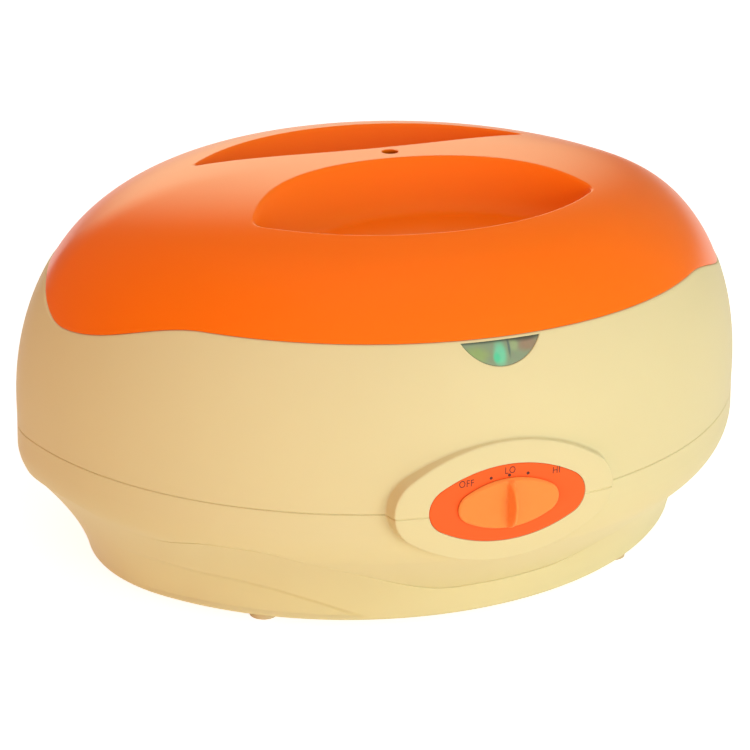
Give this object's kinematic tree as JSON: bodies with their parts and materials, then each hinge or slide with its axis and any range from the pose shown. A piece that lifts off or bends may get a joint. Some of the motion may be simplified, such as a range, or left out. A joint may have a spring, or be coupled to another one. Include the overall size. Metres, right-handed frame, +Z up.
{
  "type": "paraffin wax warmer",
  "caption": "Oval paraffin wax warmer with a lift-off orange lid with twin finger grips, a cream two-part housing, a dial knob, an indicator window and a heated metal wax pot",
  "frame": {"origin": "on the table, under the middle of the oval body, at the centre of the four feet; the dial's bar and the cord's bend sleeve reach equally far to the front and the back of it", "axes": "+Z up, front with the dial toward -Y, length of the oval along X"},
  "size_m": [0.378, 0.3454, 0.1955],
  "materials": {
    "lid_orange": "satin-gloss orange moulding",
    "housing_cream": "satin cream moulding",
    "bezel_orange": "satin orange",
    "knob_orange": "satin light orange",
    "steel": "zinc-plated steel",
    "ceramic": "unglazed ceramic",
    "brass": "plain brass",
    "clear_lens": "smoked clear plastic",
    "black_plastic": "matte black",
    "green_lamp": "green lamp lens",
    "red_lamp": "red lamp lens",
    "aluminium": "spun aluminium",
    "silicone": "white silicone",
    "grate_plastic": "heat-proof white plastic",
    "heater_silicone": "silicone heating mat",
    "felt": "mineral fibre wrap",
    "block_plastic": "white polyamide",
    "black_rubber": "matte rubber"
  },
  "bodies": {
    "housing": {"upper_housing": "housing_cream", "lower_housing": "housing_cream", "control_bezel": "bezel_orange", "thermostat": "ceramic", "thermostat_nut": "brass", "thermostat_bracket": "steel", "bracket_screws": "steel", "indicator_lens": "clear_lens", "lamp_holder": "black_plastic", "lamp_green": "green_lamp", "lamp_red": "red_lamp", "wax_pot": "aluminium", "pot_gasket": "silicone", "heating_mat": "heater_silicone", "clamp_plate": "steel", "clamp_studs": "steel", "clamp_nuts": "steel", "insulating_wrap": "felt", "thermal_fuse": "ceramic", "terminal_block": "block_plastic", "housing_screws": "steel", "rubber_feet": "black_rubber", "cord_bush": "housing_cream"},
    "lid_body": {"lid": "lid_orange"},
    "dial": {"knob": "knob_orange", "thermostat_spindle": "steel"},
    "grate_body": {"bottom_grate": "grate_plastic"}
  },
  "joints": [
    {"name": "lid_lift", "type": "slide", "parent": "housing", "child": "lid_body", "axis": [0, 0, 1], "range_m": [0, 0.12]},
    {"name": "dial_turn", "type": "hinge", "parent": "housing", "child": "dial", "pos_m": [-0.002, -0.1617, 0.0786], "axis": [0, 1, 0], "range_deg": [-60, 62]},
    {"name": "grate_lift", "type": "slide", "parent": "housing", "child": "grate_body", "axis": [0, 0, 1], "range_m": [0, 0.08]}
  ]
}
